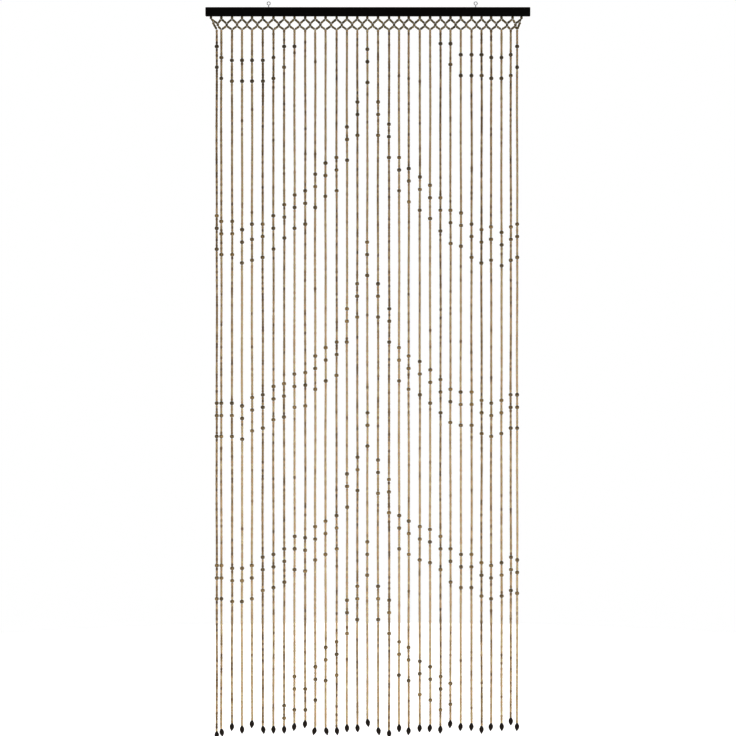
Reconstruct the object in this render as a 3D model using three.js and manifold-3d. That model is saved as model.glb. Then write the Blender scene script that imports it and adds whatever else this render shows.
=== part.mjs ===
// Bead curtain for a doorway, in millimetres. A wooden rail hangs by two screw eyes. Under it a net heading
// of beads on cord carries 31 threaded strands, and each strand ends in a pointed drop.
// +Z is up and the front faces -Y. The origin is over the middle of the rail, on the line through the eyes.

import * as THREE from 'three';
import { mergeGeometries, mergeVertices } from 'three/addons/utils/BufferGeometryUtils.js';
import Module from 'manifold-3d';

// Clear space between two pieces that touch, and how far a drilled hole is cut beyond the surface.
const GAP = 0.3;
const OVERCUT = 1;

// Corners closer together than this are welded into one.
const WELD = 1e-4;

const RAIL = { length: 900, depth: 12, height: 24, edge: 1.5 };

// Screw eyes: ring is the radius to the middle of the wire, rise the ring's height over the rail.
const EYE = { ring: 4.4, wire: 0.9, rise: 11.4, shank: 1.1, screwed: 8, point: 2, left: -275, right: 299 };
const WIRE_SIDES = 8;
const RING_STEPS = 16;

// Net heading, heights measured down from the rail's underside. At each anchor an upright bead hangs down to
// the fork. Slanting beads lead on to the knots, where two cords share an upright bead, and from there to the
// strands' heads. slack is the play over a strand's first bead, collar how far the net reaches down over a
// strand, socket how far a strand reaches up into the net, and endPull draws the outer knots inwards.
const NET = {
  firstAnchor: -435, pitch: 28.7, bead: 5,
  forkDrop: 8, knotTopDrop: 20.8, knotFootDrop: 27.4, headDrop: 37.5, slack: 2.3, collar: 2, socket: 1.5,
  endPull: 4.5,
};

// Anchors hang straight over their strands but for these, by number: how far to the right of its place.
const LOOSE_ANCHORS = { 0: 0, 29: 4, 30: 0 };

const SMALL_BEAD = { across: 5.4, length: 7.7 };
const BIG_BEAD = { across: 11.5 };
const STRAND_SIDES = 4;

// Each drop's outline, from its top to its tip: how far below the top, and the radius there.
const DROP_OUTLINE = [
  { below: 0, radius: 2.8 },
  { below: 4.8, radius: 5 },
  { below: 9.6, radius: 5.7 },
  { below: 16.5, radius: 3.5 },
  { below: 21.5, radius: 0.8 },
];
const DROP_SIDES = 8;

// A group of big beads is written as the numbers of small beads strung between them.
const LONE = [];
const NEAR_PAIR = [3];
const FAR_PAIR = [6];
const TRIO = [3, 6];
const LOOSE_TRIO = [4, 6];
const USUAL_GROUP = { top: FAR_PAIR, first: TRIO, second: TRIO, third: TRIO, fourth: TRIO };
const GROUP_ORDER = ['top', 'first', 'second', 'third', 'fourth'];

// Threading chart, one row a strand from left to right. top, first, second, third and fourth are the small
// beads strung above that group of big beads, and a strand without the group leaves it out. tail is the
// small beads under the last group, aside how far the strand hangs to the right of its place under the
// rail, and lean the drop's tilt in degrees, its tip to the right. odd names a group unlike the usual one.
const CHART = [
  { top: 5, first: 52, second: 54, third: 45, tail: 47, aside: 16, lean: 0 },
  { top: 9, first: 50, second: 52, third: 45, tail: 46, aside: 0, lean: 8 },
  { top: 10, first: 49, second: 52, third: 46, tail: 43, aside: 1, lean: -3 },
  { top: 10, first: 52, second: 50, third: 45, tail: 44, aside: 0, lean: 0 },
  { top: 10, first: 50, second: 48, third: 47, tail: 43, aside: -1, lean: -3, odd: { first: LOOSE_TRIO } },
  { top: 10, first: 50, second: 48, third: 45, tail: 48, aside: 0, lean: 9 },
  { top: 9, first: 48, second: 48, third: 47, tail: 49, aside: 1, lean: 0 },
  { top: 5, first: 48, second: 51, third: 46, fourth: 43, tail: 2, aside: 2, lean: 0, odd: { fourth: NEAR_PAIR } },
  { top: 5, first: 52, second: 51, third: 45, fourth: 37, tail: 4, aside: 2, lean: -6, odd: { top: LONE } },
  { first: 57, second: 52, third: 46, fourth: 41, tail: 3, aside: 3, lean: -4, odd: { fourth: FAR_PAIR } },
  { first: 51, second: 52, third: 48, fourth: 37, tail: 9, aside: 2, lean: -14 },
  { first: 47, second: 53, third: 49, fourth: 32, tail: 16, aside: 2, lean: 14 },
  { first: 45, second: 53, third: 49, fourth: 32, tail: 18, aside: 4, lean: 6 },
  { first: 34, second: 52, third: 46, fourth: 32, tail: 32, aside: 4, lean: 0 },
  { first: 25, second: 52, third: 49, fourth: 33, tail: 37, aside: 4, lean: 3 },
  { first: 6, second: 56, third: 48, fourth: 33, tail: 51, aside: 3, lean: 9 },
  { first: 25, second: 52, third: 50, fourth: 32, tail: 38, aside: 4, lean: 9 },
  { first: 33, second: 53, third: 48, fourth: 30, tail: 34, aside: 6, lean: 0 },
  { first: 45, second: 55, third: 47, fourth: 32, tail: 17, aside: 5, lean: 0 },
  { first: 49, second: 54, third: 46, fourth: 32, tail: 16, aside: 3, lean: -3 },
  { first: 52, second: 53, third: 46, fourth: 35, tail: 10, aside: 5, lean: -3 },
  { first: 55, second: 53, third: 44, fourth: 36, tail: 8, aside: 5, lean: -6 },
  { top: 4, first: 54, second: 52, third: 43, fourth: 37, tail: 5, aside: 5, lean: -3, odd: { top: LONE } },
  { top: 4, first: 51, second: 51, third: 44, fourth: 35, tail: 5, aside: 4, lean: -6, odd: { fourth: FAR_PAIR } },
  { top: 8, first: 48, second: 51, third: 45, tail: 48, aside: 4, lean: -5 },
  { top: 8, first: 52, second: 47, third: 45, tail: 48, aside: 5, lean: -3 },
  { top: 8, first: 54, second: 48, third: 45, tail: 46, aside: 4, lean: 0 },
  { top: 9, first: 52, second: 50, third: 45, tail: 44, aside: 2, lean: -6 },
  { top: 9, first: 54, second: 47, third: 45, tail: 45, aside: 2, lean: 3 },
  { top: 8, first: 53, second: 47, third: 45, tail: 45, aside: -1, lean: 0 },
  { top: 5, first: 55, second: 48, third: 46, tail: 46, aside: -12, lean: -3 },
];

const railTop = -EYE.rise;
const railFoot = railTop - RAIL.height;
const headHeight = railFoot - NET.headDrop;

const stainedWood = new THREE.MeshStandardMaterial({ color: 0x1a1512, roughness: 0.5, metalness: 0 });
const zincWire = new THREE.MeshStandardMaterial({ color: 0xb7babd, roughness: 0.35, metalness: 1 });
const beadWood = new THREE.MeshStandardMaterial({ color: 0x8c7355, roughness: 0.55, metalness: 0 });
const dropWood = new THREE.MeshStandardMaterial({ color: 0x241811, roughness: 0.45, metalness: 0 });

const wasm = await Module();
wasm.setup();

// A closed geometry as a solid that can be joined to another or cut by it.
function toSolid(geometry) {
  const bare = new THREE.BufferGeometry();
  bare.setAttribute('position', geometry.getAttribute('position').clone());
  bare.setIndex(geometry.getIndex());
  const welded = mergeVertices(bare, WELD);
  return new wasm.Manifold(new wasm.Mesh({
    numProp: 3,
    vertProperties: welded.getAttribute('position').array,
    triVerts: Uint32Array.from(welded.getIndex().array),
  }));
}

function toGeometry(solid) {
  const { vertProperties, triVerts } = solid.getMesh();
  const geometry = new THREE.BufferGeometry();
  geometry.setAttribute('position', new THREE.BufferAttribute(vertProperties, 3));
  geometry.setIndex(new THREE.BufferAttribute(triVerts, 1));
  return geometry;
}

// A turned piece around the vertical axis. The outline runs from its foot to its top, axis to axis.
function turned(outline, sides) {
  const points = outline.map(({ radius, height }) => new THREE.Vector2(radius, height));
  return new THREE.LatheGeometry(points, sides).rotateX(Math.PI / 2);
}

// The middle line of strand number index, counted from 0 at the left.
function strandSide(index) {
  return NET.firstAnchor + index * NET.pitch + CHART[index].aside;
}

function anchorSide(index) {
  return NET.firstAnchor + index * NET.pitch + (LOOSE_ANCHORS[index] ?? CHART[index].aside);
}

// The knot between anchor number index and the next one.
function knotSide(index) {
  const pull = { 0: NET.endPull, [CHART.length - 2]: -NET.endPull }[index] ?? 0;
  return (anchorSide(index) + anchorSide(index + 1)) / 2 + pull;
}

function fork(index) {
  return new THREE.Vector2(anchorSide(index), railFoot - NET.forkDrop);
}

function knotTop(index) {
  return new THREE.Vector2(knotSide(index), railFoot - NET.knotTopDrop);
}

function knotFoot(index) {
  return new THREE.Vector2(knotSide(index), railFoot - NET.knotFootDrop);
}

function head(index) {
  return new THREE.Vector2(strandSide(index), headHeight);
}

// The corners of a counter-clockwise polygon with every side moved inwards by the same distance.
function inset(corners, distance) {
  const leftOf = (from, to) => new THREE.Vector2(from.y - to.y, to.x - from.x).normalize();
  return corners.map((corner, i) => {
    const before = corners.at(i - 1);
    const after = corners[(i + 1) % corners.length];
    const side = leftOf(before, corner);
    const mitre = leftOf(corner, after).add(side).normalize();
    return corner.clone().addScaledVector(mitre, distance / mitre.dot(side));
  });
}

// Net heading, as one flat lattice. It is what is left between the openings: those over the knots, which reach
// the rail, those under the knots, which reach down between the strands, and the holes under the anchors.
function netGeometry() {
  const half = NET.bead / 2;
  const last = CHART.length - 1;
  const aboveTop = railFoot - GAP + half;
  const belowFoot = headHeight - NET.collar - half;
  const top = (index) => new THREE.Vector2(anchorSide(index), aboveTop);
  const foot = (index) => new THREE.Vector2(strandSide(index), belowFoot);
  const outside = RAIL.length;

  const upper = [];
  const lower = [];
  for (let i = 0; i < last; i += 1) {
    upper.push(...inset([top(i), fork(i), knotTop(i), fork(i + 1), top(i + 1)], half));
    // The first strand hangs by its outer cord alone, so the first opening under a knot is a large one.
    const roof = i === 0 ? [knotFoot(0), knotTop(0), fork(0)] : [knotFoot(i)];
    lower.unshift(...inset([foot(i + 1), head(i + 1), ...roof, head(i), foot(i)], half));
  }
  const right = [top(last), fork(last), head(last), foot(last)];
  const left = [foot(0), head(0), fork(0), top(0)];
  const beyondRight = [new THREE.Vector2(outside, belowFoot), new THREE.Vector2(outside, aboveTop)];
  const beyondLeft = [new THREE.Vector2(-outside, aboveTop), new THREE.Vector2(-outside, belowFoot)];
  const lattice = new THREE.Shape([
    ...upper,
    ...inset([...right, ...beyondRight], half).slice(0, right.length),
    ...lower,
    ...inset([...left, ...beyondLeft], half).slice(0, left.length),
  ]);

  for (let i = 1; i <= last; i += 1) {
    const corners = [fork(i), knotTop(i - 1), knotFoot(i - 1), head(i)];
    if (i < last) corners.push(knotFoot(i), knotTop(i));
    lattice.holes.push(new THREE.Path(inset(corners, half)));
  }
  return new THREE.ExtrudeGeometry(lattice, { depth: NET.bead, bevelEnabled: false })
    .rotateX(Math.PI / 2)
    .translate(0, half, 0);
}

// The heights of a strand's big beads, and of its lower end, worked out by stringing its row of the chart.
function thread(row) {
  const bigBeads = [];
  let height = headHeight - NET.slack;
  const stringBigBead = () => {
    bigBeads.push(height - BIG_BEAD.across / 2);
    height -= BIG_BEAD.across;
  };
  for (const name of GROUP_ORDER) {
    if (row[name] !== undefined) {
      height -= row[name] * SMALL_BEAD.length;
      stringBigBead();
      for (const between of row.odd?.[name] ?? USUAL_GROUP[name]) {
        height -= between * SMALL_BEAD.length;
        stringBigBead();
      }
    }
  }
  return { bigBeads, end: height - row.tail * SMALL_BEAD.length };
}

// A strand is four-sided, as wide as its small beads, and swells at each big bead.
function strandGeometry(index) {
  const { bigBeads, end } = thread(CHART[index]);
  const slim = SMALL_BEAD.across / 2;
  const wide = BIG_BEAD.across / 2;
  const shoulder = Math.sqrt(wide ** 2 - slim ** 2);
  const top = headHeight + NET.socket;
  const outline = [{ radius: 0, height: end }, { radius: slim, height: end }];
  for (const height of bigBeads.reverse()) {
    outline.push({ radius: slim, height: height - shoulder });
    outline.push({ radius: wide, height });
    outline.push({ radius: slim, height: height + shoulder });
  }
  outline.push({ radius: slim, height: top }, { radius: 0, height: top });
  return turned(outline, STRAND_SIDES).translate(strandSide(index), 0, 0);
}

// Net and strands are threaded in one go on the same cords, so they are one piece.
function curtainGeometry() {
  const strands = mergeGeometries(CHART.map((row, index) => strandGeometry(index)));
  return toGeometry(toSolid(netGeometry()).add(toSolid(strands)));
}

function eyeGeometry() {
  const ring = new THREE.TorusGeometry(EYE.ring, EYE.wire, WIRE_SIDES, RING_STEPS).rotateX(Math.PI / 2);
  const shankFoot = railTop - EYE.screwed;
  const shank = turned([
    { radius: 0, height: shankFoot - EYE.point },
    { radius: EYE.shank, height: shankFoot },
    { radius: EYE.shank, height: -EYE.ring },
    { radius: 0, height: -EYE.ring },
  ], WIRE_SIDES);
  return toGeometry(toSolid(ring).add(toSolid(shank)));
}

// Rail with softened long edges, and a pilot hole in its top for each screw eye.
function railGeometry() {
  const { length, depth, height, edge } = RAIL;
  const section = new THREE.Shape([
    new THREE.Vector2(-depth / 2 + edge, 0),
    new THREE.Vector2(depth / 2 - edge, 0),
    new THREE.Vector2(depth / 2, edge),
    new THREE.Vector2(depth / 2, height - edge),
    new THREE.Vector2(depth / 2 - edge, height),
    new THREE.Vector2(-depth / 2 + edge, height),
    new THREE.Vector2(-depth / 2, height - edge),
    new THREE.Vector2(-depth / 2, edge),
  ]);
  const bar = new THREE.ExtrudeGeometry(section, { depth: length, bevelEnabled: false })
    .rotateX(Math.PI / 2)
    .rotateZ(Math.PI / 2)
    .translate(-length / 2, 0, railFoot);

  const holeFoot = railTop - EYE.screwed - EYE.point - GAP;
  const holeTop = railTop + OVERCUT;
  const holeWidth = EYE.shank + GAP;
  const holes = [EYE.left, EYE.right].map((side) => turned([
    { radius: 0, height: holeFoot },
    { radius: holeWidth, height: holeFoot },
    { radius: holeWidth, height: holeTop },
    { radius: 0, height: holeTop },
  ], WIRE_SIDES).translate(side, 0, 0));
  return toGeometry(toSolid(bar).subtract(toSolid(mergeGeometries(holes))));
}

function dropGeometry() {
  const tip = DROP_OUTLINE.at(-1);
  const rings = DROP_OUTLINE.map(({ below, radius }) => ({ radius, height: -below })).reverse();
  return turned([{ radius: 0, height: -tip.below }, ...rings, { radius: 0, height: 0 }], DROP_SIDES);
}

function piece(name, geometry, material, side = 0, height = 0) {
  const mesh = new THREE.Mesh(geometry, material);
  mesh.name = name;
  mesh.position.set(side, 0, height);
  return mesh;
}

// The drop of strand number index, a little below the strand's end and clear of it when it leans.
function dropPiece(index) {
  const lean = THREE.MathUtils.degToRad(CHART[index].lean);
  const clear = GAP + DROP_OUTLINE[0].radius * Math.abs(Math.sin(lean));
  const name = `drop_${String(index + 1).padStart(2, '0')}`;
  const mesh = piece(name, dropGeometry(), dropWood, strandSide(index), thread(CHART[index]).end - clear);
  mesh.rotation.y = -lean;
  return mesh;
}

const curtain = new THREE.Group();
curtain.add(piece('rail', railGeometry(), stainedWood));
curtain.add(piece('eye_left', eyeGeometry(), zincWire, EYE.left));
curtain.add(piece('eye_right', eyeGeometry(), zincWire, EYE.right));
curtain.add(piece('curtain', curtainGeometry(), beadWood));
for (let index = 0; index < CHART.length; index += 1) {
  curtain.add(dropPiece(index));
}

export default curtain;
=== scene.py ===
"""Looks of a wooden bead curtain: threaded strands under a net heading, hung from a black rail."""

import math
import random
from types import SimpleNamespace

import bmesh
import bpy
import numpy as np
from bpy.props import FloatProperty, FloatVectorProperty, IntProperty, PointerProperty
from mathutils import Euler, Matrix, Vector


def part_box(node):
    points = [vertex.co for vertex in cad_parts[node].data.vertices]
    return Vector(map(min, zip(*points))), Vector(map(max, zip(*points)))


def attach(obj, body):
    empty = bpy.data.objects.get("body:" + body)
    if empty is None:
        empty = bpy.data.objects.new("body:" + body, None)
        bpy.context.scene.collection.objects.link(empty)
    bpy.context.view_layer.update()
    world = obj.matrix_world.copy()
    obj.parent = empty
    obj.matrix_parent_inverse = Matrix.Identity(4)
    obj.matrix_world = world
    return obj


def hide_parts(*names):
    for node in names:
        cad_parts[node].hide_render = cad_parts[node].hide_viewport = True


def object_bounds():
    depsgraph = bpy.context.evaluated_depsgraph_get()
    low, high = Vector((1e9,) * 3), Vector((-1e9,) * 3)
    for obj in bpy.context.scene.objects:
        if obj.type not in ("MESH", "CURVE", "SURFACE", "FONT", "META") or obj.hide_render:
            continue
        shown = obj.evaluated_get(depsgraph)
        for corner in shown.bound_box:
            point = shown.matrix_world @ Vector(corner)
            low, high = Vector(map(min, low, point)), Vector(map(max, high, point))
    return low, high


bl_info = {
    "name": "Bead curtain",
    "version": (1, 0, 0),
    "blender": (4, 5, 0),
    "location": "3D View > Sidebar > Bead curtain",
    "description": "Builds the beads, cords, drops, rail and screw eyes of a doorway curtain on its solids",
    "category": "Object",
}

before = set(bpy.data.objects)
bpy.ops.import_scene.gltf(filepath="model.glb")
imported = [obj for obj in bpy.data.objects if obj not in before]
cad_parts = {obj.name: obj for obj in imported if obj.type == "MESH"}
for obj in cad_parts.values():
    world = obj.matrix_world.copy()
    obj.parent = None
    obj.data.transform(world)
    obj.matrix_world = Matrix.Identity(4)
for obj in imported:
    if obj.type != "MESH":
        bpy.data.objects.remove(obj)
cad_low, cad_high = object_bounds()

BODY = "root"
STRAND_NODE = "curtain"
RAIL_NODE = "rail"
EYE_NODES = ("eye_left", "eye_right")
DROP_NODES = sorted(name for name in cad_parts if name.startswith("drop_"))

# How the solid net is laid out under the rail, in metres down from its top edge, and how thick it is.
FORK_DROP = 0.0077
KNOT_TOP_DROP = 0.0205
KNOT_FOOT_DROP = 0.0271
STRAND_SOCKET = 0.0015
NET_HALF_DEPTH = 0.0026

BIG_BEAD_HOLE = 0.0026

# Big beads are darker near the rail: by how much of their tone, and down to what depth under the net.
TOP_DARKNESS = 0.75
TOP_DEPTH = 0.45

# Bare cord at each end of a slanting run of net beads, and the share of its way that an outer run has bare.
NET_ROOM = 0.0022
OUTER_BARE = 0.25

# How far the cords reach into the drops and into the rail.
CORD_IN_DROP = 0.002
CORD_IN_RAIL = 0.001

# A cord is drawn through this many stretches from its head to its drop.
CORD_STEPS = 40

# A strand reaches its full wander this far under its head.
WANDER_FADE = 0.15

# How many sides each turned piece has, and how many rings a big bead.
SMALL_BEAD_SIDES = 8
BIG_BEAD_SIDES = 10
BIG_BEAD_RINGS = 7
DROP_SIDES = 20
WIRE_SIDES = 12
SHANK_SIDES = 14

# A bead is a little shorter than its place on the cord, so that its neighbour shows as another bead.
SMALL_BEAD_SHARE = 0.985
NET_BEAD_SHARE = 0.97

# Threading: how unlike the beads are. A pair is a mean and a spread, and a range is what is allowed.
STRAND_MOOD = 0.2
KNOTTY_SHARE = 0.008
KNOTTY_WIDTH = 1.16
KNOTTY_TONE = 0.25
SMALL_WIDTH = (1, 0.045)
SMALL_WIDTH_RANGE = (0.88, 1.09)
SMALL_TILT = 0.035
SMALL_TONE = (0.56, 0.13)
SMALL_TONE_RANGE = (0.1, 1)
SMALL_LENGTH_RANGE = (0.97, 1)
BIG_WIDTH = (0.99, 0.025)
BIG_WIDTH_RANGE = (0.92, 1.04)
BIG_HEIGHT = (0.965, 0.02)
BIG_HEIGHT_RANGE = (0.88, 1.0)
BIG_DEPTH_RANGE = (0.95, 1)
BIG_TILT = 0.07
NET_WIDTH_RANGE = (0.94, 1.06)
NET_TILT = 0.04
NET_TONE = (0.5, 0.16)

# A screw eye: how far round its ring is bent, in degrees, and its shank's radii from the tip upwards.
RING_ARC = 345
RING_STEPS = 36
SHANK_TIP = 0.0002
SHANK_FOOT = 0.0011
SHANK_HEAD = 0.00105
POINT_LENGTH = 0.002

RAIL_EDGE_STEPS = 4

# The camera's square picture: how much of the curtain's plane it shows, its middle and its contrast.
PICTURE_HEIGHT = 2.041
PICTURE_MIDDLE = Vector((0.0004, 0.0, -1.0111))
CAMERA_DISTANCE = 6.0
SENSOR = 36.0
PICTURE_CONTRAST = 0.7

# Distant lights: name, the direction that each shines from, its spread, its power and whether it glints.
LAMPS = (
    ("top", (-0.12, -0.6, 0.86), 0.7, 1.05, True),
    ("front", (-0.35, -0.95, -0.05), 0.6, 0.15, False),
    ("right", (0.85, -0.5, 0.25), 0.5, 0.6, True),
    ("back", (0.4, 0.8, 0.5), 0.6, 0.9, False),
)

# The strength with which the white background lights the curtain. The camera sees it at 1.
SKY_LIGHT = 0.2

# The panel light in front of the lower half.
PANEL_PLACE = Vector((0.0, -1.6, -1.35))
PANEL_WIDTH = 1.6
PANEL_TALL = 0.6
PANEL_POWER = 12.5

FLOOR_GAP = 0.03
FLOOR_RADIUS = 3.0
FLOOR_SIDES = 96


class CurtainSizes(bpy.types.PropertyGroup):
    """Sizes of the pieces that dress the solids."""

    bead_across: FloatProperty(
        name="Small bead across", description="Widest part of a small barrel bead",
        default=0.0061, unit="LENGTH",
    )
    bead_length: FloatProperty(
        name="Small bead length", description="Length of a small barrel bead on its cord",
        default=0.0077, unit="LENGTH",
    )
    big_bead_across: FloatProperty(
        name="Big bead across", description="Widest part of a big round bead",
        default=0.0115, unit="LENGTH",
    )
    net_bead_across: FloatProperty(
        name="Net bead across", description="Widest part of a slanting barrel bead in the net heading",
        default=0.006, unit="LENGTH",
    )
    upright_bead_across: FloatProperty(
        name="Upright bead across", description="Widest part of an upright bead in the net heading",
        default=0.007, unit="LENGTH",
    )
    cord_across: FloatProperty(
        name="Cord across", description="Thickness of the cord that the beads are strung on",
        default=0.0012, unit="LENGTH",
    )
    drop_across: FloatProperty(
        name="Drop across", description="Widest part of a pointed drop",
        default=0.0122, unit="LENGTH",
    )
    rail_edge: FloatProperty(
        name="Rail edge", description="How far the rail's edges are rounded over",
        default=0.0014, unit="LENGTH",
    )
    wire_across: FloatProperty(
        name="Eye wire across", description="Thickness of the screw eye's bent wire",
        default=0.0018, unit="LENGTH",
    )
    sway: FloatProperty(
        name="Sway", description="How far a hanging strand wanders to each side",
        default=0.0006, unit="LENGTH",
    )
    seed: IntProperty(
        name="Seed", description="Start of the random draws for bead tones, turns and sizes",
        default=31, min=0,
    )


def colour_property(name, description, default):
    return FloatVectorProperty(
        name=name, description=description, default=default, subtype="COLOR", size=3, min=0, max=1,
    )


class CurtainColours(bpy.types.PropertyGroup):
    """Colours of the woods, the cord and the metal."""

    pale_wood: colour_property("Pale wood", "Palest small beads", (0.57, 0.465, 0.285))
    tan_wood: colour_property("Tan wood", "Most of the small beads", (0.42, 0.318, 0.175))
    rosy_wood: colour_property("Rosy wood", "Small beads with a pink cast", (0.52, 0.352, 0.21))
    brown_wood: colour_property("Brown wood", "Browner small beads", (0.24, 0.158, 0.068))
    # Dark wood at half strength also colours the small beads' ends: partly end-grain stain, partly painted
    # shade between beads.
    dark_wood: colour_property("Dark wood", "Darkest small beads and sawn ends", (0.095, 0.058, 0.024))
    amber_wood: colour_property("Amber wood", "Light parts of a big bead", (0.412, 0.28, 0.11))
    russet_wood: colour_property("Russet wood", "Dark parts of a big bead", (0.107, 0.074, 0.031))
    net_wood: colour_property("Net wood", "Beads of the net heading", (0.178, 0.14, 0.066))
    drop_wood: colour_property("Drop wood", "Dark-stained pointed drops", (0.016, 0.009, 0.0055))
    rail_black: colour_property("Rail black", "Black stain of the rail", (0.006, 0.005, 0.0042))
    cord_brown: colour_property("Cord brown", "Waxed cord", (0.05, 0.03, 0.016))
    zinc: colour_property("Zinc", "Plating of the screw eyes", (0.62, 0.63, 0.65))


def sizes():
    return bpy.context.scene.curtain_sizes


def colours():
    return bpy.context.scene.curtain_colours


# Reading the solids

# Places on a solid that differ by less than this are taken as the same.
NEAR = 1e-4


def solid_corners(node):
    """The corners of a CAD node's solid, each once, as rows of x, y and z."""
    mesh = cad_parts[node].data
    places = np.empty(len(mesh.vertices) * 3, np.float32)
    mesh.vertices.foreach_get("co", places)
    return np.unique(places.reshape(-1, 3).astype(float).round(5), axis=0)


def at_level(values, level):
    return np.abs(values - level) < NEAR


def read_strands():
    """Each strand from left to right: where it hangs, its two ends and the heights of its big beads.

    A solid strand is a four-sided bar that swells at each big bead. Its foremost corners stand further
    forward than the net's, and furthest in the middle of a swelling.
    """
    corners = solid_corners(STRAND_NODE)
    fronts = corners[corners[:, 1] < -NET_HALF_DEPTH]
    swollen = at_level(fronts[:, 1], fronts[:, 1].min())
    strands = []
    for side in np.unique(fronts[swollen][:, 0].round(4)):
        here = at_level(fronts[:, 0], side)
        heights = fronts[here][:, 2]
        strands.append(SimpleNamespace(
            side=float(side),
            top=float(heights.max()) - STRAND_SOCKET,
            foot=float(heights.min()),
            big_beads=sorted(fronts[here & swollen][:, 2].tolist(), reverse=True),
        ))
    return strands


def bar_middles(corners):
    """Where upright bars stand, from corners that lie on their left and right sides."""
    return np.unique(corners[:, 0]).reshape(-1, 2).mean(axis=1).tolist()


def read_net(strands):
    """The net's joints: its anchors under the rail, the forks, both ends of the knots, and the heads."""
    corners = solid_corners(STRAND_NODE)
    top = float(corners[:, 2].max())
    depths = top - corners[:, 2]
    anchors = bar_middles(corners[depths < NEAR])
    knots = bar_middles(corners[(depths > KNOT_TOP_DROP + NEAR) & (depths < KNOT_FOOT_DROP - NEAR)])
    return SimpleNamespace(
        anchors=[Vector((side, 0, top)) for side in anchors],
        forks=[Vector((side, 0, top - FORK_DROP)) for side in anchors],
        knot_tops=[Vector((side, 0, top - KNOT_TOP_DROP)) for side in knots],
        knot_feet=[Vector((side, 0, top - KNOT_FOOT_DROP)) for side in knots],
        heads=[Vector((strand.side, 0, strand.top)) for strand in strands],
    )


def turned_axis(node):
    """The head and the tip of a turned solid, on its own axis, which may lean."""
    corners = solid_corners(node)
    middle = corners.mean(axis=0)
    axis = np.linalg.svd(corners - middle)[2][0]
    if axis[2] > 0:
        axis = -axis
    along = (corners - middle) @ axis
    return Vector(middle + along.min() * axis), Vector(middle + along.max() * axis)


# Materials

# A Mix node has sockets for every kind of data under the same names. These are the colour ones' places.
MIX_SHARE = 0
MIX_FIRST = 6
MIX_SECOND = 7
MIX_RESULT = 2

# The shader sockets that a finish may set besides its colour and roughness.
SOCKETS = {
    "coat": "Coat Weight",
    "coat_roughness": "Coat Roughness",
    "metallic": "Metallic",
    "reflection": "Specular IOR Level",
    "glow": "Emission Color",
    "glow_strength": "Emission Strength",
}


class Flow:
    """One output of a shader node. Arithmetic on it adds Math nodes."""

    def __init__(self, finish, socket):
        self.finish = finish
        self.socket = socket

    def maths(self, operation, *values):
        node = self.finish.node("ShaderNodeMath", {"operation": operation}, dict(enumerate(values)))
        return Flow(self.finish, node.outputs[0])

    def __add__(self, other):
        return self.maths("ADD", self, other)

    def __sub__(self, other):
        return self.maths("SUBTRACT", self, other)

    def __rsub__(self, other):
        return self.maths("SUBTRACT", other, self)

    def __mul__(self, other):
        return self.maths("MULTIPLY", self, other)

    def __abs__(self):
        return self.maths("ABSOLUTE", self)

    __radd__ = __add__
    __rmul__ = __mul__

    def fraction(self):
        return self.maths("FRACT", self)

    def smooth(self, low, high):
        """0 under low, 1 over high, and a soft step in between."""
        node = self.finish.node(
            "ShaderNodeMapRange", {"interpolation_type": "SMOOTHSTEP"},
            {"Value": self, "From Min": low, "From Max": high},
        )
        return Flow(self.finish, node.outputs["Result"])


class Finish:
    """A material being made, with its Principled shader."""

    def __init__(self, name):
        self.material = bpy.data.materials.new(name)
        self.material.use_nodes = True
        self.tree = self.material.node_tree
        self.shader = self.tree.nodes["Principled BSDF"]

    def node(self, kind, settings=None, inputs=None):
        """Adds a node: its settings first, then the values or links of its sockets."""
        node = self.tree.nodes.new(kind)
        for name, value in (settings or {}).items():
            if name == "stops":
                self.set_stops(node.color_ramp, value)
            else:
                setattr(node, name, value)
        for name, value in (inputs or {}).items():
            self.feed(node.inputs[name], value)
        return node

    def set_stops(self, ramp, stops):
        while len(ramp.elements) < len(stops):
            ramp.elements.new(0.5)
        for element, (position, colour) in zip(ramp.elements, stops):
            element.position = position
            element.color = (*colour, 1)

    def feed(self, socket, value):
        if isinstance(value, Flow):
            self.tree.links.new(value.socket, socket)
        elif socket.type == "RGBA" and len(value) == 3:
            socket.default_value = (*value, 1)
        else:
            socket.default_value = value

    def place(self, stretch=(1, 1, 1)):
        """Object coordinates, multiplied along each axis."""
        source = self.node("ShaderNodeTexCoord").outputs["Object"]
        mapping = self.node("ShaderNodeMapping", None, {"Vector": Flow(self, source), "Scale": stretch})
        return Flow(self, mapping.outputs["Vector"])

    def attribute(self, name):
        node = self.node("ShaderNodeAttribute", {"attribute_name": name})
        return Flow(self, node.outputs["Fac"])

    def noise(self, place, scale, shift=0.0, detail=2.0, roughness=0.5):
        node = self.node(
            "ShaderNodeTexNoise", {"noise_dimensions": "4D"},
            {"Vector": place, "W": shift, "Scale": scale, "Detail": detail, "Roughness": roughness},
        )
        return Flow(self, node.outputs["Fac"])

    def ramp(self, share, *stops):
        node = self.node("ShaderNodeValToRGB", {"stops": stops}, {"Fac": share})
        return Flow(self, node.outputs["Color"])

    def mix(self, share, first, second):
        """Colour mix: first where share is 0, second where it is 1."""
        node = self.node(
            "ShaderNodeMix", {"data_type": "RGBA"}, {MIX_SHARE: share, MIX_FIRST: first, MIX_SECOND: second},
        )
        return Flow(self, node.outputs[MIX_RESULT])

    def bump(self, height, distance, strength):
        node = self.node(
            "ShaderNodeBump", None, {"Height": height, "Distance": distance, "Strength": strength},
        )
        self.feed(self.shader.inputs["Normal"], Flow(self, node.outputs["Normal"]))

    def surface(self, colour, roughness, **fixed):
        """Links the shader's colour and roughness, sets its other sockets and returns the material."""
        self.feed(self.shader.inputs["Base Color"], colour)
        self.feed(self.shader.inputs["Roughness"], roughness)
        for name, value in fixed.items():
            self.feed(self.shader.inputs[SOCKETS[name]], value)
        return self.material


def shade_of(colour, strength):
    """A colour made darker or lighter by a factor."""
    return [min(1.0, part * strength) for part in colour]


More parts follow.
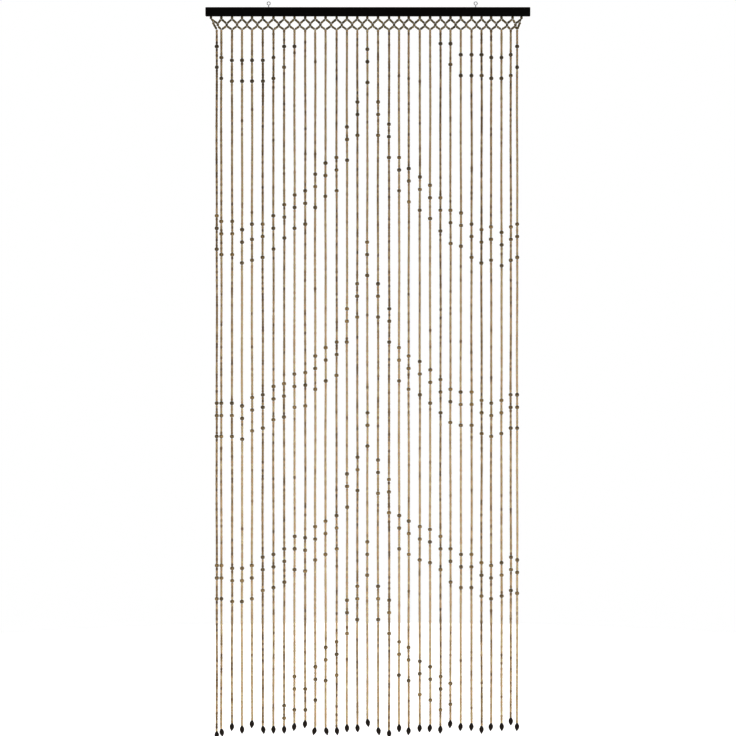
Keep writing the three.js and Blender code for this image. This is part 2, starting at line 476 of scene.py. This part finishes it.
def barrel_bead_finish(name, stops, blush):
    """Thinly varnished wood with fine streaks and another tone on each bead, its ends darkened partly by
    end-grain stain and partly by painted shade between beads.
    """
    wood = Finish(name)
    tone = wood.attribute("tone")
    along = wood.attribute("along")
    streak = wood.noise(wood.place((1, 1, 0.12)), scale=1500, shift=tone * 60, detail=3)
    cloud = wood.noise(wood.place(), scale=260, shift=tone * 35)
    shade = tone + streak * 0.16 + cloud * 0.16 - 0.16
    rosy = (tone * 41).fraction().smooth(0.4, 0.75) * shade.smooth(0.3, 0.5)
    body = wood.mix(rosy * blush, wood.ramp(shade, *stops), colours().rosy_wood)
    # Near each end the colour darkens towards half the darkest stop: partly the stain that end grain soaks
    # up, partly painted shade in the narrow gap where neighbouring beads meet.
    sawn = abs(along).smooth(0.74, 1.0)
    ends_stained_and_shaded = wood.mix(sawn * 0.75, body, shade_of(stops[0][1], 0.5))
    wood.bump(streak * 0.7 + cloud * 0.3, distance=0.00012, strength=0.6)
    return wood.surface(ends_stained_and_shaded, 0.36 + streak * 0.22, coat=0.25, coat_roughness=0.25)


def small_bead_finish():
    """The strands' beads, from dark brown to pale, with every third or so a little pink."""
    stops = (
        (0.04, colours().dark_wood), (0.3, colours().brown_wood), (0.5, colours().tan_wood),
        (0.85, colours().pale_wood),
    )
    return barrel_bead_finish("small_bead_wood", stops, 0.6)


def net_bead_finish():
    """The net's beads, darker and greyer than the strands'."""
    stops = (
        (0.1, shade_of(colours().net_wood, 0.4)), (0.5, colours().net_wood),
        (0.9, shade_of(colours().net_wood, 1.7)),
    )
    return barrel_bead_finish("net_bead_wood", stops, 0.15)


def big_bead_finish():
    """Glossy round wood bead, mottled amber and russet, with painted shade turning it near black round its
    drilled holes.
    """
    wood = Finish("big_bead_wood")
    tone = wood.attribute("tone")
    along = wood.attribute("along")
    mottle = wood.noise(wood.place((1, 1, 0.6)), scale=230, shift=tone * 40, detail=3)
    streak = wood.noise(wood.place((1, 1, 0.22)), scale=1000, shift=tone * 25, detail=3)
    shade = mottle * 0.75 + streak * 0.55 + tone * 0.2 - 0.36
    body = wood.ramp(
        shade,
        (0.0, shade_of(colours().russet_wood, 0.55)), (0.3, colours().russet_wood),
        (0.65, colours().amber_wood), (1.0, shade_of(colours().amber_wood, 1.35)),
    )
    # Painted shade: round each drilled hole, where the small beads press against it, the colour turns almost
    # black.
    hole = abs(along).smooth(0.8, 1.0)
    shaded = wood.mix(hole * 0.8, body, shade_of(colours().russet_wood, 0.3))
    wood.bump(streak, distance=0.00015, strength=0.5)
    return wood.surface(shaded, 0.26 + streak * 0.18, coat=0.6, coat_roughness=0.17)


def stained_finish(name, stain, grain_stretch, gloss, reflection):
    """Dark-stained wood with its grain showing faintly."""
    wood = Finish(name)
    grain = wood.noise(wood.place(grain_stretch), scale=1000, detail=4, roughness=0.6)
    open_pores = 1 - grain.smooth(0.3, 0.48)
    body = wood.ramp(
        grain,
        (0.3, shade_of(stain, 0.4)), (0.5, stain), (0.62, shade_of(stain, 1.7)), (0.75, shade_of(stain, 3.4)),
    )
    wood.bump(grain, distance=0.0001, strength=0.5)
    return wood.surface(body, gloss + open_pores * 0.2, reflection=reflection)


def cord_finish():
    """Waxed twisted cord: its plies wind round it."""
    cord = Finish("cord_wax")
    ply = cord.noise(cord.place((1, 1, 2.5)), scale=1400, detail=2)
    body = cord.mix(ply, shade_of(colours().cord_brown, 0.6), shade_of(colours().cord_brown, 1.6))
    cord.bump(ply, distance=0.0002, strength=0.6)
    return cord.surface(body, 0.7 - ply * 0.15)


def zinc_finish():
    """Zinc-plated wire with a dull, slightly clouded shine."""
    zinc = Finish("eye_zinc")
    cloud = zinc.noise(zinc.place(), scale=500, detail=3)
    body = zinc.mix(cloud, shade_of(colours().zinc, 0.75), shade_of(colours().zinc, 1.1))
    zinc.bump(cloud, distance=0.00005, strength=0.4)
    return zinc.surface(body, 0.24 + cloud * 0.25, metallic=1.0)


def floor_finish():
    """Pale studio floor, lit so that it runs into the white background."""
    floor = Finish("studio_floor")
    speck = floor.noise(floor.place(), scale=40, detail=2)
    body = floor.mix(speck, (0.88, 0.88, 0.87), (0.92, 0.92, 0.91))
    return floor.surface(body, 0.75 + speck * 0.1, glow=(1, 1, 1), glow_strength=0.6)


# Mesh helpers

FULL_TURN = 2 * math.pi

# Corners closer than this to a turned shape's axis, or to each other, count as one.
ON_AXIS = 1e-7

# Edges that turn by more than this many radians stay sharp.
SHARP_TURN = 0.95

# The empty rim of a turned shape's map, as a share of the square.
MAP_MARGIN = 0.04


def add_piece(name, mesh, replaced=()):
    """Puts a finished mesh in the scene as a piece of the curtain."""
    piece = bpy.data.objects.new(name, mesh)
    bpy.context.scene.collection.objects.link(piece)
    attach(piece, BODY)
    if replaced:
        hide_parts(*replaced)
    return piece


def mesh_from(bm, name, material):
    """Writes a bmesh to a new mesh, smooth but for its sharp edges."""
    for face in bm.faces:
        face.smooth = True
    for edge in bm.edges:
        if edge.is_manifold and edge.calc_face_angle() > SHARP_TURN:
            edge.smooth = False
    mesh = bpy.data.meshes.new(name)
    bm.to_mesh(mesh)
    bm.free()
    mesh.materials.append(material)
    return mesh


def turned_bmesh(outline, sides):
    """A bmesh turned round Z from an outline of (radius, height) that starts and ends on the axis.

    Its vertices carry along, which runs from -1 at the foot to 1 at the top, and its faces a map named
    OFBake with the turn across and the outline upwards.
    """
    bm = bmesh.new()
    along = bm.verts.layers.float.new("along")
    low, high = outline[0][1], outline[-1][1]
    path = [0.0]
    for (r0, z0), (r1, z1) in zip(outline, outline[1:]):
        path.append(path[-1] + math.hypot(r1 - r0, z1 - z0))
    step = bm.verts.layers.float.new("step")
    chain = []
    for (radius, height), reached in zip(outline, path):
        vertex = bm.verts.new((radius, 0, height))
        vertex[along] = 2 * (height - low) / (high - low) - 1
        vertex[step] = reached / path[-1]
        chain.append(vertex)
    edges = [bm.edges.new(pair) for pair in zip(chain, chain[1:])]
    bmesh.ops.spin(
        bm, geom=chain + edges, axis=(0, 0, 1), cent=(0, 0, 0), angle=FULL_TURN, steps=sides, use_merge=True,
    )
    bmesh.ops.remove_doubles(bm, verts=bm.verts, dist=ON_AXIS)
    bmesh.ops.recalc_face_normals(bm, faces=bm.faces)
    map_turned(bm, step)
    bm.verts.layers.float.remove(step)
    return bm


def map_turned(bm, step):
    """Unrolls a turned shape onto the unit square, leaving a margin round it."""
    cell = bm.loops.layers.uv.new("OFBake")
    room = 1 - 2 * MAP_MARGIN
    for face in bm.faces:
        middle = face.calc_center_median()
        facing = math.atan2(middle.y, middle.x) % FULL_TURN
        for loop in face.loops:
            place = loop.vert.co
            turn = facing
            if place.xy.length > ON_AXIS:
                turn += (math.atan2(place.y, place.x) - facing + math.pi) % FULL_TURN - math.pi
            loop[cell].uv = (MAP_MARGIN + room * turn / FULL_TURN, MAP_MARGIN + room * loop.vert[step])


def barrel_outline(radius, length, ends=0.68, shoulder=0.8):
    """A barrel bead's outline: flat sawn ends, rounded shoulders and a slight belly."""
    half = length / 2
    upper = [(radius, 0), (radius * 0.92, half * shoulder), (radius * ends, half), (0, half)]
    return [(r, -z) for r, z in reversed(upper[1:])] + upper


def round_outline(radius, rings, hole):
    """A round bead's outline: a sphere whose poles are drilled off flat."""
    first = math.asin(hole / radius)
    turns = [first + (math.pi - 2 * first) * i / (rings - 1) for i in range(rings)]
    arc = [(radius * math.sin(a), -radius * math.cos(a)) for a in turns]
    return [(0, arc[0][1]), *arc, (0, arc[-1][1])]


def bead_joiner():
    """Node group that sets one bead on every point, turned and sized as the point says, as a real mesh."""
    group = bpy.data.node_groups.new("join_beads", "GeometryNodeTree")
    face = group.interface
    face.new_socket("Points", in_out="INPUT", socket_type="NodeSocketGeometry")
    bead = face.new_socket("Bead", in_out="INPUT", socket_type="NodeSocketObject")
    cell_width = face.new_socket("Cell Width", in_out="INPUT", socket_type="NodeSocketFloat")
    face.new_socket("Beads", in_out="OUTPUT", socket_type="NodeSocketGeometry")

    def node(kind, settings=None, **inputs):
        made = group.nodes.new(kind)
        for name, value in (settings or {}).items():
            setattr(made, name, value)
        for name, value in inputs.items():
            socket = made.inputs[name.replace("_", " ")]
            if isinstance(value, bpy.types.NodeSocket):
                group.links.new(value, socket)
            else:
                socket.default_value = value
        return made

    def named(name, kind="FLOAT_VECTOR"):
        return node("GeometryNodeInputNamedAttribute", {"data_type": kind}, Name=name).outputs["Attribute"]

    given = node("NodeGroupInput").outputs
    shape = node("GeometryNodeObjectInfo", None, Object=given["Bead"]).outputs["Geometry"]
    turn = node("FunctionNodeEulerToRotation", None, Euler=named("turn")).outputs[0]
    placed = node(
        "GeometryNodeInstanceOnPoints", None,
        Points=given["Points"], Instance=shape, Rotation=turn, Scale=named("size"),
    ).outputs[0]
    real = node("GeometryNodeRealizeInstances", None, Geometry=placed).outputs[0]
    shrunk = node("ShaderNodeVectorMath", {"operation": "SCALE"}, Vector=named("OFBake"))
    group.links.new(given["Cell Width"], shrunk.inputs["Scale"])
    moved = node("ShaderNodeVectorMath", {"operation": "ADD"})
    group.links.new(shrunk.outputs[0], moved.inputs[0])
    group.links.new(named("cell"), moved.inputs[1])
    mapped = node(
        "GeometryNodeStoreNamedAttribute", {"data_type": "FLOAT2", "domain": "CORNER"},
        Geometry=real, Name="OFBake", Value=moved.outputs[0],
    ).outputs[0]
    result = node("NodeGroupOutput")
    group.links.new(mapped, result.inputs[0])
    return SimpleNamespace(tree=group, bead=bead.identifier, cell_width=cell_width.identifier)


class Beads:
    """A list of places for one kind of bead, which becomes one joined mesh."""

    def __init__(self):
        self.places = []

    def add(self, centre, turn, size, tone):
        self.places.append((tuple(centre), tuple(turn), tuple(size), tone))

    def joined(self, name, bead, joiner):
        """The mesh of all the beads, each mapped onto its own cell of a square."""
        columns = math.ceil(math.sqrt(len(self.places)))
        mesh = bpy.data.meshes.new(name)
        mesh.from_pydata([place[0] for place in self.places], [], [])
        cells = [(i % columns / columns, i // columns / columns, 0) for i in range(len(self.places))]
        for key, values in (
            ("turn", [place[1] for place in self.places]),
            ("size", [place[2] for place in self.places]),
            ("cell", cells),
        ):
            layer = mesh.attributes.new(key, "FLOAT_VECTOR", "POINT")
            layer.data.foreach_set("vector", np.array(values, np.float32).ravel())
        tones = mesh.attributes.new("tone", "FLOAT", "POINT")
        tones.data.foreach_set("value", np.array([place[3] for place in self.places], np.float32))

        holder = bpy.data.objects.new(name, mesh)
        bpy.context.scene.collection.objects.link(holder)
        modifier = holder.modifiers.new("join", "NODES")
        modifier.node_group = joiner.tree
        modifier[joiner.bead] = bead
        modifier[joiner.cell_width] = 1 / columns
        graph = bpy.context.evaluated_depsgraph_get()
        made = bpy.data.meshes.new_from_object(
            holder.evaluated_get(graph), preserve_all_data_layers=True, depsgraph=graph,
        )
        bpy.data.objects.remove(holder)
        for key in ("turn", "size", "cell"):
            if key in made.attributes:
                made.attributes.remove(made.attributes[key])
        made.name = name
        return made


def bead_object(name, outline, sides, material):
    """A single bead at the origin, for the joiner to copy."""
    mesh = mesh_from(turned_bmesh(outline, sides), name, material)
    bead = bpy.data.objects.new(name, mesh)
    bpy.context.scene.collection.objects.link(bead)
    return bead


def threaded(strand, length):
    """Heights of the small beads that fill a strand between its ends and its big beads, and their length."""
    half = sizes().big_bead_across / 2
    stops = [strand.top, *(z for big in strand.big_beads for z in (big + half, big - half)), strand.foot]
    for upper, lower in zip(stops[::2], stops[1::2]):
        count = max(1, round((upper - lower) / length))
        pitch = (upper - lower) / count
        for i in range(count):
            yield upper - (i + 0.5) * pitch, pitch


def wander(strand, height):
    """Sideways wander of a strand at a height, nothing at its head."""
    depth = strand.top - height
    fade = min(1.0, depth / WANDER_FADE)
    phase = strand.side * 40
    return Vector((
        math.sin(depth * 7.3 + phase) * 0.6 + math.sin(depth * 19 + phase * 2.3) * 0.4,
        math.sin(depth * 8.9 + phase * 1.7) * 0.7,
        0,
    )) * (sizes().sway * fade)


def within(value, low_high):
    """The value, or the nearer end of the range if it lies outside."""
    low, high = low_high
    return min(high, max(low, value))


def loose_turn(chance, tilt):
    """A bead's turn on its cord: any way round, and a little aslant."""
    return Euler((chance.gauss(0, tilt), chance.gauss(0, tilt), chance.uniform(0, FULL_TURN)))


# Operators, one for each piece or group of like pieces

class CURTAIN_OT_small_beads(bpy.types.Operator):
    """Threads the small barrel beads, one mesh for each strand"""

    bl_idname = "curtain.small_beads"
    bl_label = "Small beads"

    def execute(self, context):
        chance = random.Random(sizes().seed)
        joiner = bead_joiner()
        length = sizes().bead_length
        outline = barrel_outline(sizes().bead_across / 2, length * SMALL_BEAD_SHARE)
        bead = bead_object("small_bead", outline, SMALL_BEAD_SIDES, small_bead_finish())
        for number, strand in enumerate(read_strands(), 1):
            beads = Beads()
            mood = chance.uniform(-STRAND_MOOD, STRAND_MOOD)
            for height, pitch in threaded(strand, length):
                knotty = chance.random() < KNOTTY_SHARE
                wide = KNOTTY_WIDTH if knotty else within(chance.gauss(*SMALL_WIDTH), SMALL_WIDTH_RANGE)
                turn = loose_turn(chance, SMALL_TILT)
                tone = KNOTTY_TONE if knotty else within(chance.gauss(*SMALL_TONE) + mood, SMALL_TONE_RANGE)
                centre = Vector((strand.side, 0, height)) + wander(strand, height)
                tall = pitch / length * chance.uniform(*SMALL_LENGTH_RANGE)
                beads.add(centre, turn, (wide, wide, tall), tone)
            mesh = beads.joined(f"strand_{number:02d}", bead, joiner)
            add_piece(f"strand_{number:02d}", mesh, [STRAND_NODE])
        bpy.data.objects.remove(bead)
        return {"FINISHED"}


class CURTAIN_OT_big_beads(bpy.types.Operator):
    """Threads the big round beads that draw the zigzag rows"""

    bl_idname = "curtain.big_beads"
    bl_label = "Big beads"

    def execute(self, context):
        chance = random.Random(sizes().seed + 1)
        joiner = bead_joiner()
        outline = round_outline(sizes().big_bead_across / 2, BIG_BEAD_RINGS, BIG_BEAD_HOLE / 2)
        bead = bead_object("big_bead", outline, BIG_BEAD_SIDES, big_bead_finish())
        beads = Beads()
        for strand in read_strands():
            for height in strand.big_beads:
                wide = within(chance.gauss(*BIG_WIDTH), BIG_WIDTH_RANGE)
                tall = within(chance.gauss(*BIG_HEIGHT), BIG_HEIGHT_RANGE)
                turn = loose_turn(chance, BIG_TILT)
                centre = Vector((strand.side, 0, height)) + wander(strand, height)
                darker = TOP_DARKNESS * max(0, 1 - (strand.top - height) / TOP_DEPTH)
                size = (wide, wide * chance.uniform(*BIG_DEPTH_RANGE), tall)
                beads.add(centre, turn, size, chance.random() - darker)
        add_piece("big_beads", beads.joined("big_beads", bead, joiner), [STRAND_NODE])
        bpy.data.objects.remove(bead)
        return {"FINISHED"}


def upright_runs(net):
    """From each anchor down to its fork, and from the top of each knot to its foot."""
    return [*zip(net.anchors, net.forks), *zip(net.knot_tops, net.knot_feet)]


def slanting_runs(net):
    """From the forks down to the knots, and on to the strands' heads. The first head has no knot over it."""
    runs = []
    for i, (knot_top, knot_foot) in enumerate(zip(net.knot_tops, net.knot_feet)):
        runs += [(net.forks[i], knot_top), (net.forks[i + 1], knot_top), (knot_foot, net.heads[i + 1])]
        if i > 0:
            runs.append((knot_foot, net.heads[i]))
    return runs


def outer_runs(net):
    """The two steep runs that lead straight from the outermost forks to the outermost strands."""
    return [(net.forks[0], net.heads[0]), (net.forks[-1], net.heads[-1])]


def string_run(beads, upper, lower, room, length, girth, chance):
    """Strings a run of barrel beads from one joint to the next, with bare cord at both ends."""
    way = lower - upper
    span = way.length - 2 * room
    count = round(span / length)
    pitch = span / count
    course = way.to_track_quat("Z", "Y")
    for i in range(count):
        centre = upper + way.normalized() * (room + (i + 0.5) * pitch)
        turn = course @ loose_turn(chance, NET_TILT).to_quaternion()
        wide = girth * chance.uniform(*NET_WIDTH_RANGE)
        beads.add(centre, turn.to_euler(), (wide, wide, pitch / length), chance.gauss(*NET_TONE))


class CURTAIN_OT_net(bpy.types.Operator):
    """Strings the net heading of dark beads: upright ones that two cords share, and slanting ones between"""

    bl_idname = "curtain.net"
    bl_label = "Net heading"

    def execute(self, context):
        chance = random.Random(sizes().seed + 2)
        joiner = bead_joiner()
        net = read_net(read_strands())
        length = sizes().bead_length
        outline = barrel_outline(sizes().net_bead_across / 2, length * NET_BEAD_SHARE)
        bead = bead_object("net_bead", outline, SMALL_BEAD_SIDES, net_bead_finish())
        stout = sizes().upright_bead_across / sizes().net_bead_across
        for name, runs, room, girth in (
            ("net_uprights", upright_runs(net), 0, stout),
            ("net_slants", slanting_runs(net), NET_ROOM, 1),
            ("net_outer_runs", [(a.lerp(b, OUTER_BARE), b) for a, b in outer_runs(net)], NET_ROOM, 1),
        ):
            beads = Beads()
            for upper, lower in runs:
                string_run(beads, upper, lower, room, length, girth, chance)
            add_piece(name, beads.joined(name, bead, joiner), [STRAND_NODE])
        bpy.data.objects.remove(bead)
        return {"FINISHED"}


def cord_mesh(name, routes, across, material):
    """A mesh of round cords, one along each route of places."""
    curve = bpy.data.curves.new(name, "CURVE")
    curve.dimensions = "3D"
    curve.bevel_depth = across / 2
    curve.bevel_resolution = 1
    curve.use_fill_caps = True
    for route in routes:
        spline = curve.splines.new("POLY")
        spline.points.add(len(route) - 1)
        for point, place in zip(spline.points, route):
            point.co = (*place, 1)
    holder = bpy.data.objects.new(name, curve)
    bpy.context.scene.collection.objects.link(holder)
    mesh = bpy.data.meshes.new_from_object(holder)
    bpy.data.objects.remove(holder)
    bpy.data.curves.remove(curve)
    mesh.name = name
    mesh.materials.clear()
    mesh.materials.append(material)
    return mesh


def strand_route(strand):
    """A strand's cord, from its head to inside its drop."""
    foot = strand.foot - CORD_IN_DROP
    heights = [strand.top + (foot - strand.top) * i / CORD_STEPS for i in range(CORD_STEPS + 1)]
    return [Vector((strand.side, 0, height)) + wander(strand, height) for height in heights]


class CURTAIN_OT_cords(bpy.types.Operator):
    """Runs the cords through the beads, the net and up into the rail"""

    bl_idname = "curtain.cords"
    bl_label = "Cords"

    def execute(self, context):
        strands = read_strands()
        net = read_net(strands)
        across = sizes().cord_across
        rail_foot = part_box(RAIL_NODE)[0].z
        routes = [strand_route(strand) for strand in strands]
        routes += [*upright_runs(net), *slanting_runs(net), *outer_runs(net)]
        routes += [(Vector((anchor.x, 0, rail_foot + CORD_IN_RAIL)), anchor) for anchor in net.anchors]
        add_piece("cords", cord_mesh("cords", routes, across, cord_finish()), [STRAND_NODE])
        return {"FINISHED"}


def drop_outline(length, radius):
    """A turned drop from its tip up: a long point, a round belly, a neck and a small collar."""
    shape = [
        (0.0, 0.0), (0.1, 0.0), (0.17, 0.015), (0.23, 0.05), (0.36, 0.11), (0.54, 0.19), (0.71, 0.27),
        (0.86, 0.36), (0.96, 0.45), (1.0, 0.54), (0.99, 0.62), (0.94, 0.7), (0.85, 0.77), (0.72, 0.835),
        (0.58, 0.885), (0.5, 0.91), (0.52, 0.93), (0.56, 0.95), (0.54, 0.975), (0.47, 0.995), (0.3, 1.0),
        (0.0, 1.0),
    ]
    return [(r * radius, h * length) for r, h in shape]


class CURTAIN_OT_drops(bpy.types.Operator):
    """Turns the dark pointed drops that end the strands"""

    bl_idname = "curtain.drops"
    bl_label = "Drops"

    def execute(self, context):
        wood = stained_finish("drop_bead_wood", colours().drop_wood, (1, 1, 0.14), 0.3, 0.25)
        for node in DROP_NODES:
            head, tip = turned_axis(node)
            bm = turned_bmesh(drop_outline((head - tip).length, sizes().drop_across / 2), DROP_SIDES)
            turn = (head - tip).to_track_quat("Z", "Y").to_matrix().to_4x4()
            bmesh.ops.transform(bm, matrix=Matrix.Translation(tip) @ turn, verts=bm.verts)
            name = node.replace("drop", "point")
            add_piece(name, mesh_from(bm, name, wood), [node])
        return {"FINISHED"}


class CURTAIN_OT_rail(bpy.types.Operator):
    """Planes the black rail with its edges rounded over"""

    bl_idname = "curtain.rail"
    bl_label = "Rail"

    def execute(self, context):
        low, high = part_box(RAIL_NODE)
        bm = bmesh.new()
        bmesh.ops.create_cube(bm, size=1)
        bmesh.ops.scale(bm, vec=high - low, verts=bm.verts)
        bmesh.ops.translate(bm, vec=(low + high) / 2, verts=bm.verts)
        bmesh.ops.bevel(
            bm, geom=bm.edges[:], affect="EDGES", offset=sizes().rail_edge, segments=RAIL_EDGE_STEPS,
            profile=0.5, material=-1,
        )
        wood = stained_finish("rail_wood", colours().rail_black, (0.02, 1, 1), 0.5, 0.1)
        add_piece("rail_bar", mesh_from(bm, "rail_bar", wood), [RAIL_NODE])
        return {"FINISHED"}


class CURTAIN_OT_eyes(bpy.types.Operator):
    """Bends the two screw eyes from wire"""

    bl_idname = "curtain.eyes"
    bl_label = "Screw eyes"

    def execute(self, context):
        zinc = zinc_finish()
        for node in EYE_NODES:
            low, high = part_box(node)
            side = (low.x + high.x) / 2
            wire = sizes().wire_across / 2
            ring = (high.x - low.x) / 2 - wire
            bm = bmesh.new()
            section = bmesh.ops.create_circle(
                bm, segments=WIRE_SIDES, radius=wire,
                matrix=Matrix.Translation((0, 0, -ring)) @ Matrix.Rotation(math.pi / 2, 4, "Y"),
            )["verts"]
            edges = list({edge for vertex in section for edge in vertex.link_edges})
            end = bmesh.ops.spin(
                bm, geom=section + edges, axis=(0, 1, 0), cent=(0, 0, 0), angle=math.radians(RING_ARC),
                steps=RING_STEPS,
            )["geom_last"]
            caps = [section, [item for item in end if isinstance(item, bmesh.types.BMVert)]]
            for cap in caps:
                bmesh.ops.contextual_create(bm, geom=cap)
            shoulder = low.z + POINT_LENGTH
            for foot, top, foot_radius, top_radius in (
                (low.z, shoulder, SHANK_TIP, SHANK_FOOT),
                (shoulder, -ring, SHANK_FOOT, SHANK_HEAD),
            ):
                bmesh.ops.create_cone(
                    bm, cap_ends=True, segments=SHANK_SIDES, radius1=foot_radius, radius2=top_radius,
                    depth=top - foot, matrix=Matrix.Translation((0, 0, (foot + top) / 2)),
                )
            bmesh.ops.recalc_face_normals(bm, faces=bm.faces)
            bmesh.ops.translate(bm, vec=(side, 0, 0), verts=bm.verts)
            add_piece(f"{node}_wire", mesh_from(bm, f"{node}_wire", zinc), [node])
        return {"FINISHED"}


def add_lamp(name, source, spread, power, glints):
    """A distant round soft light that shines from the direction source, with or without its reflection."""
    light = bpy.data.lights.new(name, "SUN")
    light.angle = spread
    light.energy = power
    lamp = bpy.data.objects.new(name, light)
    lamp.rotation_euler = Vector(source).to_track_quat("Z", "Y").to_euler()
    lamp.visible_glossy = glints
    bpy.context.scene.collection.objects.link(lamp)


def add_low_panel():
    """A wide soft panel low in front, so that the strands are darker under the rail than further down."""
    light = bpy.data.lights.new("low_panel", "AREA")
    light.shape = "ELLIPSE"
    light.size = PANEL_WIDTH
    light.size_y = PANEL_TALL
    light.energy = PANEL_POWER
    lamp = bpy.data.objects.new("low_panel", light)
    lamp.location = PANEL_PLACE
    lamp.rotation_euler = (math.pi / 2, 0, 0)
    lamp.visible_camera = False
    bpy.context.scene.collection.objects.link(lamp)


class CURTAIN_OT_stage(bpy.types.Operator):
    """Sets the camera, the soft lights, the white background and the pale floor"""

    bl_idname = "curtain.stage"
    bl_label = "Stage"

    def execute(self, context):
        scene = context.scene
        scene.view_settings.view_transform = "Standard"
        scene.view_settings.gamma = PICTURE_CONTRAST
        camera = bpy.data.cameras.new("camera")
        camera.sensor_width = SENSOR
        camera.lens = SENSOR * CAMERA_DISTANCE / PICTURE_HEIGHT
        holder = bpy.data.objects.new("camera", camera)
        holder.location = PICTURE_MIDDLE - Vector((0, CAMERA_DISTANCE, 0))
        holder.rotation_euler = (math.pi / 2, 0, 0)
        scene.collection.objects.link(holder)
        scene.camera = holder

        world = bpy.data.worlds.new("studio")
        world.use_nodes = True
        tree = world.node_tree
        sky = tree.nodes["Background"]
        sky.inputs["Color"].default_value = (1, 1, 1, 1)
        seen = tree.nodes.new("ShaderNodeLightPath").outputs["Is Camera Ray"]
        strength = tree.nodes.new("ShaderNodeMapRange")
        strength.inputs["To Min"].default_value = SKY_LIGHT
        tree.links.new(seen, strength.inputs["Value"])
        tree.links.new(strength.outputs["Result"], sky.inputs["Strength"])
        scene.world = world

        for lamp in LAMPS:
            add_lamp(*lamp)
        add_low_panel()

        bm = bmesh.new()
        bmesh.ops.create_circle(
            bm, cap_ends=True, segments=FLOOR_SIDES, radius=FLOOR_RADIUS,
            matrix=Matrix.Translation((0, 0, cad_low.z - FLOOR_GAP)),
        )
        floor = bpy.data.objects.new("studio_floor", mesh_from(bm, "studio_floor", floor_finish()))
        scene.collection.objects.link(floor)
        return {"FINISHED"}


OPERATORS = (
    CURTAIN_OT_stage, CURTAIN_OT_rail, CURTAIN_OT_eyes, CURTAIN_OT_net, CURTAIN_OT_cords,
    CURTAIN_OT_small_beads, CURTAIN_OT_big_beads, CURTAIN_OT_drops,
)


class CURTAIN_PT_panel(bpy.types.Panel):
    """Lists the pieces of the curtain and their sizes and colours"""

    bl_label = "Bead curtain"
    bl_space_type = "VIEW_3D"
    bl_region_type = "UI"
    bl_category = "Bead curtain"

    def draw(self, context):
        for operator in OPERATORS:
            self.layout.operator(operator.bl_idname)
        for group in (context.scene.curtain_sizes, context.scene.curtain_colours):
            for name in group.bl_rna.properties.keys():
                if name not in ("rna_type", "name"):
                    self.layout.prop(group, name)


CLASSES = (CurtainSizes, CurtainColours, *OPERATORS, CURTAIN_PT_panel)


def register():
    for item in CLASSES:
        bpy.utils.register_class(item)
    bpy.types.Scene.curtain_sizes = PointerProperty(type=CurtainSizes)
    bpy.types.Scene.curtain_colours = PointerProperty(type=CurtainColours)


def unregister():
    del bpy.types.Scene.curtain_colours
    del bpy.types.Scene.curtain_sizes
    for item in reversed(CLASSES):
        bpy.utils.unregister_class(item)


def main():
    register()
    for operator in OPERATORS:
        group, name = operator.bl_idname.split(".")
        getattr(getattr(bpy.ops, group), name)()


if __name__ == "__main__":
    main()
